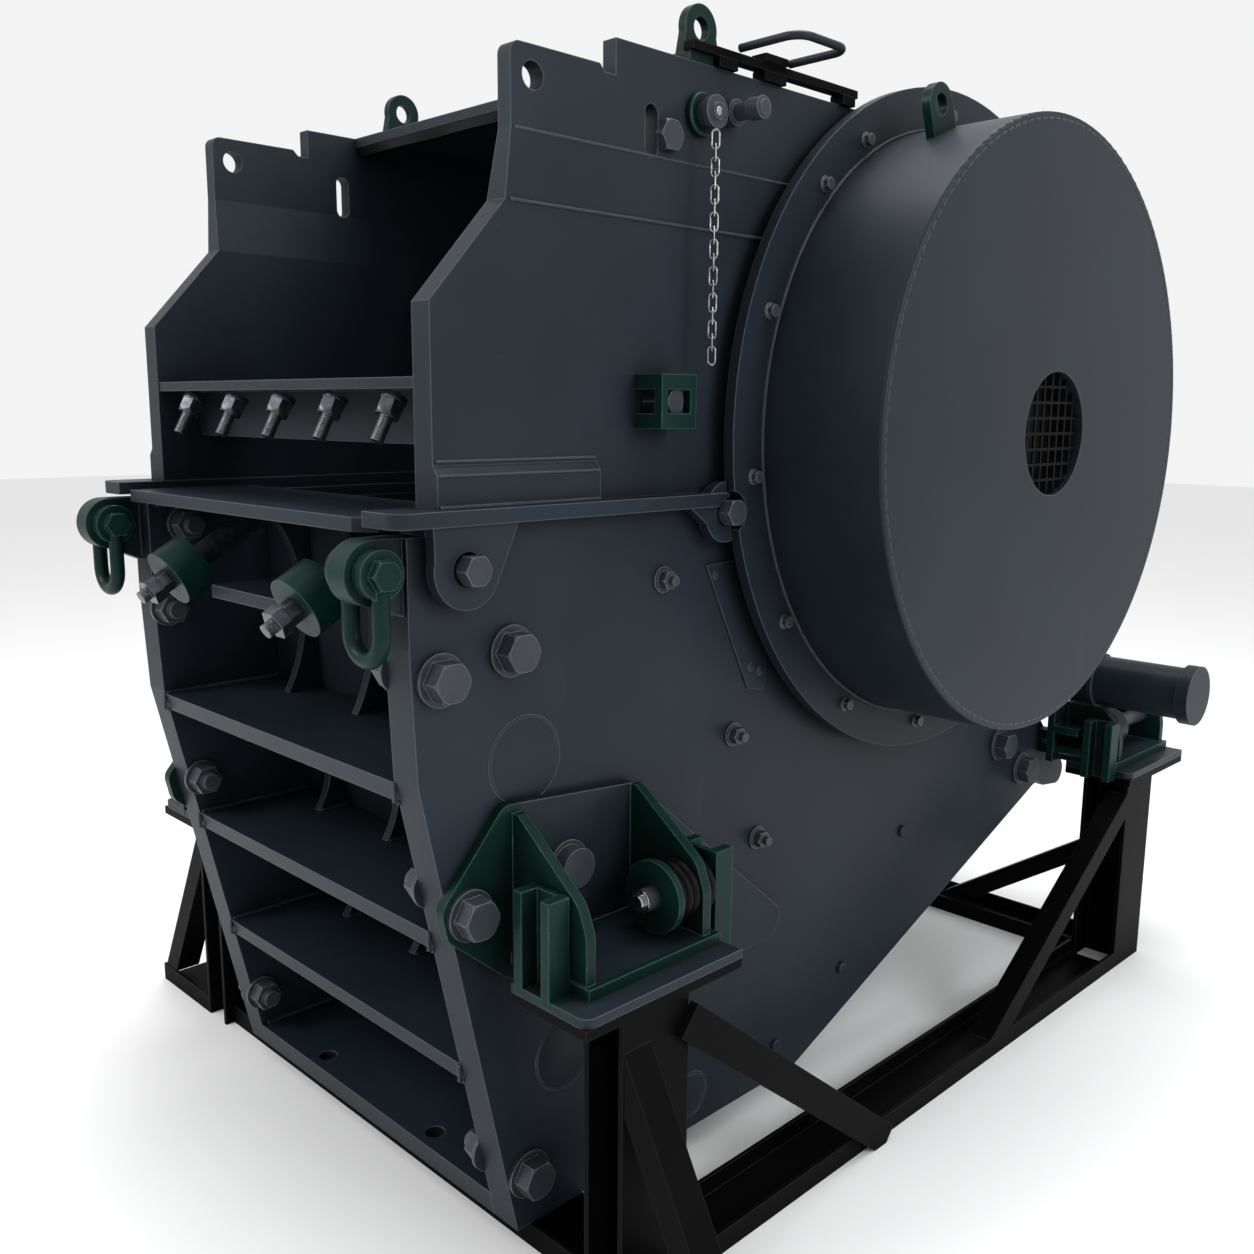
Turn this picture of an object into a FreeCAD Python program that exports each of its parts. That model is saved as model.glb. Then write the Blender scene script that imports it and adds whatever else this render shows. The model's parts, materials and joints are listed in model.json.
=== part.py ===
import FreeCAD, Part
import os
from math import sin, cos, radians, hypot, atan2, degrees
from FreeCAD import Vector

# Jaw crusher on its transport stand. Millimetres, X across the machine, Y from feed end to
# drive end, Z up. Heights are from the crusher's base and shifted up by LIFT at the end.

LIFT = 60.0                # the crusher's base hangs this far above the floor
FLOOR = -LIFT

# frame
HALF_WIDTH = 600.0         # outer face of each side plate
PLATE = 82.0               # side plate thickness
INNER = HALF_WIDTH - PLATE
BASE_LENGTH = 985.0        # flat bottom edge of a side plate
KINK_HEIGHT = 1070.0       # the front edge turns more upright here
KINK_LEAN = -235.0
TOP_LEAN = -258.0
FRAME_TOP = 1572.0
REAR_EDGE = 2330.0
REAR_EDGE_LOW = 532.0
RIB = 42.0
RIB_TOPS = (402.0, 726.0, 1062.0)
BASE_PLATE = 60.0
WALL_SETBACK = 330.0       # front wall behind the ribs' front edges
WEB_STATIONS = (-320.0, 0.0, 320.0)

# drive guard
AXIS_Y = 1472.0
AXIS_Z = 1733.0
GUARD_BACK = 640.0
GUARD_FACE = 990.0
GUARD_R = 774.0
RING_R = 880.0
RING_T = 28.0
GRILLE_R = 158.0
GRILLE_Y = AXIS_Y + 18

# feed hopper
FLANGE_T = 30.0
FLANGE_TOP = FRAME_TOP + FLANGE_T
FLANGE_EDGE = 656.0
HOP_T = 56.0               # side plate under the lower bend
HOP_T_HIGH = 38.0          # side plate over the upper bend
HOP_LOW = 605.0            # outer face under the lower bend
HOP_HIGH = 612.0           # outer face over the upper bend
HOP_FRONT = -189.0
BEND_LOW = 2178.0
BEND_HIGH = 2307.0
HOP_FRONT_TOP = 2460.0
HOP_TOP = 2516.0
HOP_REAR = 1150.0
COVER_FRONT = 420.0

# stand
SIDE_FACE = 912.0          # outer face of posts and side rails
RAIL_H = 54.0
RAIL_W = 160.0
POST_DEPTHS = (112.0, 150.0)
POST_W = 190.0
POST_FRONTS = (14.0, 2340.0)
SEAT_TOPS = (608.0, 576.0)  # underside of the black seat plates, front and rear
FOOT_X = 1225.0

parts = {}


def box(x0, x1, y0, y1, z0, z1):
    return Part.makeBox(x1 - x0, y1 - y0, z1 - z0, Vector(x0, y0, z0))


def rod(axis, start, length, radius):
    return Part.makeCylinder(radius, length, Vector(*start), axis)


AX, AY, AZ = Vector(1, 0, 0), Vector(0, 1, 0), Vector(0, 0, 1)


def slab_x(outline, x0, x1):
    """A plate across X from an outline of (y, z) points."""
    pts = [Vector(x0, y, z) for y, z in outline]
    return Part.Face(Part.makePolygon(pts + pts[:1])).extrude(Vector(x1 - x0, 0, 0))


def slab_y(outline, y0, y1):
    pts = [Vector(x, y0, z) for x, z in outline]
    return Part.Face(Part.makePolygon(pts + pts[:1])).extrude(Vector(0, y1 - y0, 0))


def slab_z(outline, z0, z1):
    pts = [Vector(x, y, z0) for x, y in outline]
    return Part.Face(Part.makePolygon(pts + pts[:1])).extrude(Vector(0, 0, z1 - z0))


def mirrored(shape):
    return shape.mirror(Vector(0, 0, 0), AX)


def fused(shapes):
    return shapes[0].multiFuse(shapes[1:]).removeSplitter() if len(shapes) > 1 else shapes[0]


def round_edges(shape, radius, wanted):
    """Fillet the edges that the test picks out."""
    edges = [e for e in shape.Edges if wanted(e)]
    return shape.makeFillet(radius, edges)


def along(edge, axis):
    d = edge.Vertexes[-1].Point.sub(edge.Vertexes[0].Point)
    return d.Length > 0.1 and d.normalize().cross(axis).Length < 1e-6


def hexagon(axis, start, flats, height):
    """A six-sided nut or head along X or Y."""
    r = flats / 2 / cos(radians(30))
    pts = []
    for k in range(7):
        a = radians(60 * k)
        if axis == AX:
            pts.append(Vector(start[0], start[1] + r * cos(a), start[2] + r * sin(a)))
        else:
            pts.append(Vector(start[0] + r * cos(a), start[1], start[2] + r * sin(a)))
    prism = Part.Face(Part.makePolygon(pts)).extrude(Vector(axis) * height)
    edge = (r - flats / 2) * 0.6
    foot = Vector(*start) - Vector(axis) * (3 * height + edge)
    round_top = Part.makeCone(r + 4 * height, r - edge - 1, height * 4 + edge, foot, axis)
    return prism.common(round_top)


def both_sides(name, shape, left=None):
    """The right piece and its mirror image, or the mirror image of a left piece drawn on the right."""
    parts[name + "_right"] = shape
    parts[name + "_left"] = mirrored(left or shape)


def one_node(name, *shapes):
    """Like pieces that don't touch share a node."""
    solids = []
    for shape in shapes:
        solids += shape.Solids
    parts[name] = Part.makeCompound(solids)


def pair(name, shape):
    """A piece and its mirror image share a node."""
    one_node(name, shape, mirrored(shape))


def front_edge(z):
    """Y of the side plates' front edge at a height."""
    if z < KINK_HEIGHT:
        return KINK_LEAN * z / KINK_HEIGHT
    return KINK_LEAN + (TOP_LEAN - KINK_LEAN) * (z - KINK_HEIGHT) / (FRAME_TOP - KINK_HEIGHT)


# side plates, each with a nose for a lifting shackle

NOSE_RIGHT = (556.0, -311.0, 1490.0)
NOSE_LEFT = (598.0, -320.0, 1500.0)   # drawn on the right and mirrored; welded on further out
NOSE_R = 62.0
NOSE_T = 58.0
PIN_R = 21.0


def side_plate(nose_at):
    nose_x, nose_y, nose_z = nose_at
    outline = [(0, 0), (BASE_LENGTH, 0), (REAR_EDGE, REAR_EDGE_LOW), (REAR_EDGE, FRAME_TOP),
               (-205, FRAME_TOP), (-205, nose_z + NOSE_R), (front_edge(1340), nose_z + NOSE_R),
               (front_edge(1340), 1340), (KINK_LEAN, KINK_HEIGHT)]
    plate = slab_x(outline, INNER, HALF_WIDTH)
    lower_rear = [e for e in plate.Edges if along(e, AX) and abs(e.Vertexes[0].Y - BASE_LENGTH) < 1
                  and abs(e.Vertexes[0].Z) < 1]
    plate = plate.makeFillet(70, lower_rear)
    # the nose is thinner than the plate so the shackle's ears fit over it
    back = front_edge(1400) + 24
    nose = rod(AX, (nose_x - NOSE_T / 2, nose_y, nose_z), NOSE_T, NOSE_R)
    web = slab_x([(nose_y, nose_z + NOSE_R), (back, nose_z + NOSE_R), (back, 1395),
                  (nose_y - 42, nose_z - 45)], nose_x - NOSE_T / 2, nose_x + NOSE_T / 2)
    plate = fused([plate, nose, web])
    hole = rod(AX, (nose_x - NOSE_T, nose_y, nose_z), 2 * NOSE_T, PIN_R + 1.5)
    return plate.cut(hole)


both_sides("side_plate", side_plate(NOSE_RIGHT), side_plate(NOSE_LEFT))

# front structure: base plate, ribs, webs, wall and deck

parts["base_plate"] = slab_x(
    [(front_edge(0), 0), (front_edge(BASE_PLATE), BASE_PLATE), (430, BASE_PLATE), (430, 0)],
    -INNER, INNER)
for x in (-245, 245):
    hole = rod(AZ, (x, 35, -1), BASE_PLATE + 2, 24)
    parts["base_plate"] = parts["base_plate"].cut(hole)


def front_rib(top):
    low = top - RIB
    back = front_edge(top) + WALL_SETBACK - 1
    outline = [(front_edge(low), low), (front_edge(top), top), (back, top), (back, low)]
    return slab_x(outline, -INNER, INNER)


one_node("front_ribs", *[front_rib(top) for top in RIB_TOPS])


def front_wall():
    """Leaning wall behind the ribs that carries the fixed jaw."""
    stations = (BASE_PLATE, KINK_HEIGHT, FRAME_TOP - 40)
    face = [(front_edge(z) + WALL_SETBACK, z) for z in stations]
    back = [(y + 60, z) for y, z in reversed(face)]
    return slab_x(face + back, -INNER, INNER)


parts["front_wall"] = front_wall()


def web_panel(x, low, high):
    """One upright web between two ribs, its front edge hollowed in an arc."""
    mid = (low + high) / 2
    y_low = front_edge(low) + 235
    y_high = front_edge(high) + 235
    y_mid = front_edge(mid) + 302
    wall_low = front_edge(low) + WALL_SETBACK - 3
    wall_high = front_edge(high) + WALL_SETBACK - 3
    arc = Part.Arc(Vector(x, y_low, low), Vector(x, y_mid, mid), Vector(x, y_high, high)).toShape()
    rest = Part.makePolygon([Vector(x, y_high, high), Vector(x, wall_high, high),
                             Vector(x, wall_low, low), Vector(x, y_low, low)])
    face = Part.Face(Part.Wire([arc] + rest.Edges))
    return face.extrude(Vector(24, 0, 0))


bays = list(zip((BASE_PLATE,) + RIB_TOPS, tuple(t - RIB for t in RIB_TOPS) + (FRAME_TOP - 50,)))
shelf = box(-176, 180, -255, 60, 1354, 1383)
one_node("front_webs", *[web_panel(x - 12, low + 0.5, high - 0.5).cut(shelf)
                         for x in WEB_STATIONS for low, high in bays])

DECK_FRONT = -288.0
DECK_TOP = FRAME_TOP + 13


def top_deck():
    """Plate let in between the side plates, its rims lying on them."""
    low = slab_z([(-INNER, DECK_FRONT), (INNER - 40, DECK_FRONT), (INNER, DECK_FRONT + 34),
                  (INNER, 30), (-INNER, 30)], DECK_TOP - 28, DECK_TOP)
    rims = [box(s * INNER - 12, s * INNER + 12, -255, 30, FRAME_TOP, DECK_TOP) for s in (-1, 1)]
    return fused([low] + rims).cut(rod(AZ, (430, -190, DECK_TOP - 40), 60, 14))


parts["top_deck"] = top_deck()
parts["front_shelf"] = shelf

# fixed jaw, cheek plates and moving jaw, seen through the feed opening

DIE_T = 66.0


def fixed_jaw():
    stations = (0.0, KINK_HEIGHT, FRAME_TOP - 40)
    face = [(front_edge(z) + WALL_SETBACK + 61, max(z, BASE_PLATE)) for z in stations]
    back = [(y + DIE_T, z) for y, z in reversed(face)]
    return slab_x(face + back, -INNER + 62, INNER - 62)


parts["fixed_jaw_die"] = fixed_jaw()

JAW_TOE = (660.0, 70.0)
JAW_HEAD = (985.0, 1560.0)
die = [JAW_TOE, (JAW_TOE[0] + DIE_T, JAW_TOE[1]), (JAW_HEAD[0] + DIE_T, JAW_HEAD[1]), JAW_HEAD]
parts["moving_jaw_die"] = slab_x(die, -INNER + 62, INNER - 62)


def moving_jaw():
    """Jaw stock: a leaning body hung from the bearing barrel."""
    lean = [(JAW_TOE[0] + DIE_T + 1, JAW_TOE[1]), (JAW_TOE[0] + 300, JAW_TOE[1] + 70),
            (AXIS_Y + 250, AXIS_Z - 140), (AXIS_Y - 100, AXIS_Z + 240), (1120, 1900),
            (JAW_HEAD[0] + DIE_T + 1, JAW_HEAD[1])]
    body = slab_x(lean, -440, 440)
    barrel = rod(AX, (-440, AXIS_Y, AXIS_Z), 880, 290)
    return fused([body, barrel])


parts["moving_jaw"] = moving_jaw()
cheek = slab_x([(480, 420), (600, 420), (930, 1545), (180, 1545), (230, 1080)],
               INNER - 40, INNER - 0.5)
pair("cheek_plates", cheek)

# bearing housings of the main shaft, seated on the side plates


def bearing_housing():
    barrel = rod(AX, (INNER - 40, AXIS_Y, AXIS_Z), PLATE + 60, 215)
    seat = box(INNER - 40, HALF_WIDTH, AXIS_Y - 270, AXIS_Y + 270, FRAME_TOP, AXIS_Z)
    below = box(INNER - 60, HALF_WIDTH + 40, AXIS_Y - 400, AXIS_Y + 400, FRAME_TOP - 200, FRAME_TOP)
    return fused([seat, barrel]).cut(below)


pair("bearing_housings", bearing_housing())

# rear of the frame: toggle beam, toggle plate and a rear upper beam
parts["toggle_beam"] = slab_x([(1820, 560), (2290, 640), (2290, 880), (1820, 760)], -INNER, INNER)
parts["toggle_plate"] = slab_x([(993, 196), (1014, 136), (1815, 610), (1815, 670)], -430, 430)
parts["rear_beam"] = box(-INNER, INNER, 2170, 2320, 1330, FRAME_TOP)

# hopper sides, bent outwards towards the top, with a doubler along the foot


def hopper_side():
    section = slab_y([(HOP_LOW - HOP_T, FLANGE_TOP), (HOP_LOW, FLANGE_TOP), (HOP_LOW, BEND_LOW),
                      (HOP_HIGH, BEND_HIGH), (HOP_HIGH, 2600), (HOP_HIGH - HOP_T_HIGH, 2600),
                      (HOP_HIGH - HOP_T_HIGH, BEND_HIGH), (HOP_LOW - HOP_T, BEND_LOW)], -250, HOP_REAR)
    outline = [(HOP_FRONT, FLANGE_TOP), (HOP_FRONT, 1981), (-10, BEND_LOW), (0, BEND_HIGH),
               (0, HOP_FRONT_TOP), (228, HOP_FRONT_TOP), (242, HOP_FRONT_TOP - 14),
               (272, HOP_FRONT_TOP - 14), (272, HOP_TOP), (HOP_REAR, HOP_TOP),
               (HOP_REAR, FLANGE_TOP)]
    cutter = slab_x(outline, 500, 700)
    corner = [e for e in cutter.Edges if along(e, AX) and abs(e.Vertexes[0].Y) < 1
              and abs(e.Vertexes[0].Z - HOP_FRONT_TOP) < 1]
    side = section.common(cutter.makeFillet(22, corner))
    side = side.cut(rod(AX, (500, 54, 2405), 200, 26))
    slot = fused([box(500, 700, 356, 394, 2322, 2390), rod(AX, (500, 375, 2322), 200, 19),
                  rod(AX, (500, 375, 2390), 200, 19)])
    side = side.cut(slot)
    foot = slab_y([(HOP_LOW, FLANGE_TOP), (HOP_LOW + 15, FLANGE_TOP), (HOP_LOW + 15, 1664),
                   (HOP_LOW, 1682)], HOP_FRONT, 226)
    return fused([side, foot])


both_sides("hopper_side", hopper_side())


def lug_plate(y, z, r, left, right):
    """A plate hanging from the flange edge with a round end about a bolt."""
    body = fused([slab_x([(left, FRAME_TOP), (right, FRAME_TOP), (y + r * 0.94, z - r * 0.34),
                          (y - r * 0.94, z - r * 0.34)], FLANGE_EDGE - 34, FLANGE_EDGE - 8),
                  rod(AX, (FLANGE_EDGE - 34, y, z), 26, r)])
    return body


LUG_HOLE = 34.0
LUGS = ((-143.0, 1489.0, 78.0), (596.0, 1558.0, 70.0))


def hopper_flange():
    plate = box(HOP_LOW - HOP_T - 6, FLANGE_EDGE, -305, HOP_REAR, FRAME_TOP, FLANGE_TOP)
    corner = [e for e in plate.Edges if along(e, AZ) and e.Vertexes[0].X > 650
              and e.Vertexes[0].Y < 0]
    plate = plate.makeFillet(36, corner)
    guard_room = rod(AX, (HOP_LOW + 16, AXIS_Y, AXIS_Z), 200, RING_R + 6)
    plate = plate.cut(guard_room)
    (y0, z0, r0), (y1, z1, r1) = LUGS
    front = lug_plate(y0, z0, r0, y0 - r0, y0 + r0 + 46)
    rear = lug_plate(y1, z1, r1, y1 - r1 - 50, y1 + r1 - 6).cut(guard_room)
    holes = fused([rod(AX, (HALF_WIDTH, y, z), 80, LUG_HOLE) for y, z, r in LUGS])
    return fused([plate, front, rear]).cut(holes)


both_sides("hopper_flange", hopper_flange())

cover = box(-HOP_HIGH + HOP_T_HIGH, HOP_HIGH - HOP_T_HIGH, COVER_FRONT, HOP_REAR, HOP_TOP - 24, HOP_TOP)
parts["hopper_cover"] = cover
parts["hopper_back"] = slab_x([(1075, FLANGE_TOP + 330), (1105, FLANGE_TOP + 330),
                               (1105, HOP_TOP - 24), (1075, HOP_TOP - 24)],
                              -HOP_LOW + HOP_T, HOP_LOW - HOP_T)

# feed lip: a bar, a beam under it and five clamp studs
LIP_TOP = 1846.0
lip = slab_x([(-186, LIP_TOP - 22), (-186, LIP_TOP), (60, LIP_TOP), (60, LIP_TOP - 22)],
             -HOP_LOW + HOP_T, HOP_LOW - HOP_T)
beam = box(-HOP_LOW + HOP_T, HOP_LOW - HOP_T, -82, -60, 1715, LIP_TOP - 22)
parts["feed_lip"] = fused([lip, beam])


def place(shape, tilt, origin):
    """Tilt a shape drawn up the Z axis about X, then carry it to its place."""
    out = shape.copy()
    out.rotate(Vector(0, 0, 0), AX, tilt)
    out.translate(Vector(*origin))
    return out


def clamp_stud(x):
    nut = Part.Face(Part.makePolygon([Vector(23 * cos(radians(60 * k)), 23 * sin(radians(60 * k)), -58)
                                      for k in range(7)])).extrude(Vector(0, 0, 34))
    shank = Part.makeCylinder(13, 102, Vector(0, 0, -112))
    seat = Part.makeCylinder(26, 12, Vector(0, 0, -24))
    return place(fused([nut, shank, seat]), -28, (x, -142, LIP_TOP - 24))


parts["clamp_studs"] = Part.makeCompound(
    [clamp_stud(x).cut(lip) for x in (-430, -215, 0, 215, 430)])

# wedge rods with green discs under the deck
ROD_TILT = 60.0
ROD_X = 291.0
ROD_SEAT = (-306.0, 1389.0)
DISC_R, DISC_T = 70.0, 76.0


def wedge_rod(x):
    """Threaded rod with two nuts, its upper end against the underside of the deck."""
    shank = Part.makeCylinder(15, 406, Vector(0, 0, -78))
    sleeve = Part.makeCylinder(29, 200, Vector(0, 0, DISC_T + 1))
    nuts = [Part.Face(Part.makePolygon([Vector(r * cos(radians(60 * k)), r * sin(radians(60 * k)), z)
                                        for k in range(7)])).extrude(Vector(0, 0, 28))
            for z, r in ((-29, 27), (-57, 34))]
    whole = place(fused([shank, sleeve] + nuts), -ROD_TILT, (x,) + ROD_SEAT)
    return whole.cut(box(x - 100, x + 100, -400, 400, DECK_TOP - 28.2, FRAME_TOP + 200))


def wedge_disc(x):
    disc = Part.makeCylinder(DISC_R, DISC_T)
    disc = disc.cut(Part.makeCylinder(15.5, DISC_T + 4, Vector(0, 0, -2)))
    return place(disc, -ROD_TILT, (x,) + ROD_SEAT)


parts["wedge_rods"] = Part.makeCompound([wedge_rod(x) for x in (-ROD_X, ROD_X)])
parts["wedge_discs"] = Part.makeCompound([wedge_disc(x) for x in (-ROD_X, ROD_X)])

# drive guards: bolted ring, drum, grille and lifting lug


def on_circle(radius, angle):
    return AXIS_Y + radius * cos(radians(angle)), AXIS_Z + radius * sin(radians(angle))


def guard_ring():
    ring = rod(AX, (GUARD_BACK, AXIS_Y, AXIS_Z), RING_T, RING_R)
    ring = ring.cut(rod(AX, (GUARD_BACK - 1, AXIS_Y, AXIS_Z), RING_T + 2, 640))
    y, z = LUGS[1][0], LUGS[1][1]
    ring = ring.cut(rod(AX, (GUARD_BACK - 1, y, z), RING_T + 2, 48))
    posts = []
    for angle, base in ((150, HOP_LOW), (211, HALF_WIDTH), (270, HALF_WIDTH), (329, HALF_WIDTH)):
        py, pz = on_circle(800, angle)
        posts.append(rod(AX, (base, py, pz), GUARD_BACK - base, 28))
    return fused([ring] + posts)


def guard_drum():
    drum = rod(AX, (GUARD_BACK + RING_T, AXIS_Y, AXIS_Z), GUARD_FACE - GUARD_BACK - RING_T, GUARD_R)
    rim = [e for e in drum.Edges if abs(e.BoundBox.XMin - GUARD_FACE) < 0.5
           and abs(e.BoundBox.XMax - GUARD_FACE) < 0.5]
    drum = drum.makeFillet(6, rim)
    return drum.cut(rod(AX, (GUARD_FACE - 70, GRILLE_Y, AXIS_Z), 100, GRILLE_R))


def guard_grille():
    wires = []
    for k in range(-3, 4):
        offset = k * GRILLE_R * 2 / 8
        reach = (GRILLE_R ** 2 - (abs(offset) + 3) ** 2) ** 0.5 - 0.3
        wires.append(box(GUARD_FACE - 20, GUARD_FACE - 14, GRILLE_Y + offset - 3, GRILLE_Y + offset + 3,
                         AXIS_Z - reach, AXIS_Z + reach))
        wires.append(box(GUARD_FACE - 20, GUARD_FACE - 14, GRILLE_Y - reach, GRILLE_Y + reach,
                         AXIS_Z + offset - 3, AXIS_Z + offset + 3))
    return fused(wires)


LUG_X, LUG_ANGLE, LUG_T = 800.0, 112.0, 24.0


def guard_lug():
    """An eye plate standing on the drum, its foot following the drum's curve."""
    y, z = on_circle(GUARD_R + 62, LUG_ANGLE)
    fy, fz = on_circle(GUARD_R - 20, LUG_ANGLE)
    ring = rod(AX, (LUG_X - LUG_T / 2, y, z), LUG_T, 50)
    leg = Part.makeBox(LUG_T, 100, hypot(y - fy, z - fz), Vector(LUG_X - LUG_T / 2, -50, 0))
    leg.rotate(Vector(0, 0, 0), AX, LUG_ANGLE - 90)
    leg.translate(Vector(0, fy, fz))
    lug = fused([ring, leg]).cut(rod(AX, (LUG_X - 50, y, z), 100, 25))
    return lug.cut(rod(AX, (LUG_X - 50, AXIS_Y, AXIS_Z), 100, GUARD_R))


both_sides("guard_ring", guard_ring())
both_sides("guard_drum", guard_drum())
pair("guard_grilles", guard_grille())
pair("guard_lugs", guard_lug())

# bow shackles hanging from the noses
EAR_T, EAR_R, BAR_R, BOW_DROP = 28.0, 47.0, 17.0, 114.0
BOW_SPREAD = 5.0           # the bow's legs stand this far outside the middle of the ears


def shackle(nose_at):
    x, y, z = nose_at
    gap = NOSE_T / 2 + 3
    ears = [rod(AX, (x + s * (gap + EAR_T / 2) - EAR_T / 2, y, z), EAR_T, EAR_R) for s in (-1, 1)]
    arm_x = gap + EAR_T / 2 + BOW_SPREAD
    tops = [Vector(x + s * arm_x, y, z - 22) for s in (-1, 1)]
    feet = [Vector(x + s * arm_x, y, z - BOW_DROP) for s in (-1, 1)]
    bottom = Vector(x, y, z - BOW_DROP - arm_x)
    path = Part.Wire([Part.LineSegment(tops[0], feet[0]).toShape(),
                      Part.Arc(feet[0], bottom, feet[1]).toShape(),
                      Part.LineSegment(feet[1], tops[1]).toShape()])
    ring = Part.Wire([Part.Circle(tops[0], AZ, BAR_R).toShape()])
    bow = path.makePipeShell([ring], True, False)
    reach = gap + EAR_T + 14
    pin = rod(AX, (x - reach, y, z), 2 * reach, PIN_R)
    head = hexagon(AX, (x + gap + EAR_T, y, z), 54, 20)
    nut = hexagon(AX, (x - gap - EAR_T - 20, y, z), 54, 20)
    return fused(ears + [bow, pin, head, nut])


both_sides("shackle", shackle(NOSE_RIGHT), shackle(NOSE_LEFT))

# frame bolts: heads with washers outside, nuts inside, one node a side
BIG_BOLTS = ((-181, 1275), (-6, 1309), (28, 131))
INNER_NUTS = ((-212, 1284), (-150, 822), (-10, 162), (-156, 1494))
REAR_BOLTS = ((2036, 720), (2198, 605))
SMALL_STUDS = ((436, 1412), (692, 1004), (796, 712))
BRACKET_T = 25.0
BRACKET_BOLT = (-138, 792)
BRACKET_CAP = (123, 830)


def through_bolt(y, z, seat):
    return fused([rod(AX, (seat, y, z), 10, 54), hexagon(AX, (seat + 10, y, z), 76, 40)])


def small_stud(y, z, seat):
    return fused([rod(AX, (seat, y, z), 6, 30), hexagon(AX, (seat + 6, y, z), 38, 22),
                  rod(AX, (seat + 28, y, z), 16, 11)])


def frame_bolts():
    out = [through_bolt(y, z, HALF_WIDTH) for y, z in BIG_BOLTS]
    out += [small_stud(y, z, HALF_WIDTH) for y, z in SMALL_STUDS]
    out += [through_bolt(y, z, HALF_WIDTH) for y, z in REAR_BOLTS]
    out.append(through_bolt(*BRACKET_BOLT, HALF_WIDTH + BRACKET_T))
    y, z = BRACKET_CAP
    out.append(fused([rod(AX, (HALF_WIDTH + BRACKET_T, y, z), 8, 54),
                      rod(AX, (HALF_WIDTH + BRACKET_T + 8, y, z), 34, 44)]))
    for y, z in INNER_NUTS:
        out.append(fused([rod(AX, (INNER - 8, y, z), 8, 46), hexagon(AX, (INNER - 46, y, z), 66, 38),
                          rod(AX, (INNER - 66, y, z), 20, 22)]))
    for y, z, r in LUGS:
        out.append(fused([rod(AX, (HALF_WIDTH, y, z), FLANGE_EDGE - HALF_WIDTH - 2, 27),
                          hexagon(AX, (FLANGE_EDGE - 2, y, z), 56, 30)]))
    return out


bolts = frame_bolts()

# mount brackets, front and rear on each side
BASE_EDGE = 862.0
SEAT_INNER = 690.0
SEAT_EDGE = 912.0
GREY_T, BLACK_T = 20.0, 22.0


def seat_stack(y0, y1, under):
    """Grey plate on a black plate, under a bracket."""
    grey = box(SEAT_INNER, SEAT_EDGE, y0, y1, under + BLACK_T, under + BLACK_T + GREY_T)
    grey = round_edges(grey, 26, lambda e: along(e, AZ) and e.Vertexes[0].X > SEAT_EDGE - 1
                       and e.Vertexes[0].Y < y0 + 1)
    black = box(SEAT_INNER, SEAT_EDGE, y0, y1, under, under + BLACK_T)
    return grey, black


def gusset(y, base, height, knee):
    outline = [(HALF_WIDTH + BRACKET_T, base), (HALF_WIDTH + BRACKET_T, base + height),
               (HALF_WIDTH + BRACKET_T + 16, base + height), (BASE_EDGE - 38, base + knee),
               (BASE_EDGE - 14, base + knee - 60), (BASE_EDGE - 14, base)]
    plate = slab_y(outline, y, y + 24)
    return round_edges(plate, 60, lambda e: along(e, AY) and e.Vertexes[0].X > BASE_EDGE - 40
                       and abs(e.Vertexes[0].Z - (base + knee - 30)) < 32)


FRONT_BASE = SEAT_TOPS[0] + BLACK_T + GREY_T


def front_bracket():
    outline = [(-205, 815), (-45, 998), (331, 966), (885, 495), (845, 440), (700, 430),
               (-40, 620), (-190, 748)]
    plate = slab_x(outline, HALF_WIDTH, HALF_WIDTH + BRACKET_T)
    plate = round_edges(plate, 34, lambda e: along(e, AX) and e.Vertexes[0].Z > 470)
    base = box(HALF_WIDTH + BRACKET_T, BASE_EDGE, -30, 358, FRONT_BASE, FRONT_BASE + 26)
    top = FRONT_BASE + 26
    webs = [gusset(-24, top, 300, 160), gusset(316, top, 290, 160)]
    for y in (60, 270):
        base = base.cut(rod(AZ, (735, y, FRONT_BASE - 1), 30, 15))
    bracket = fused([plate, base] + webs)
    return bracket.cut(rod(AY, (BUFFER_X, 300, BUFFER_Z), 60, 26))


BUFFER_X, BUFFER_Z = 776.0, 767.0


def guide_channel(y, opens, x0, width, z0, z1):
    """A short upright channel that keeps the bracket in place."""
    web_y = y if opens < 0 else y - 12
    web = box(x0, x0 + width, web_y, web_y + 12, z0, z1)
    f0, f1 = (y - 42, y) if opens < 0 else (y, y + 42)
    flanges = [box(x, x + 24, f0, f1, z0, z1) for x in (x0, x0 + width - 24)]
    return fused([web] + flanges)


both_sides("front_bracket", front_bracket())
front_grey, front_black = seat_stack(-84, 372, SEAT_TOPS[0])
guides = [guide_channel(-43, -1, 700, 106, SEAT_TOPS[0] + BLACK_T + 4, 852),
          guide_channel(384, 1, 722, 112, SEAT_TOPS[0] + 4, 846)]
front_grey = front_grey.cut(guides[0])
pair("front_guides", Part.makeCompound(guides))


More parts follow.
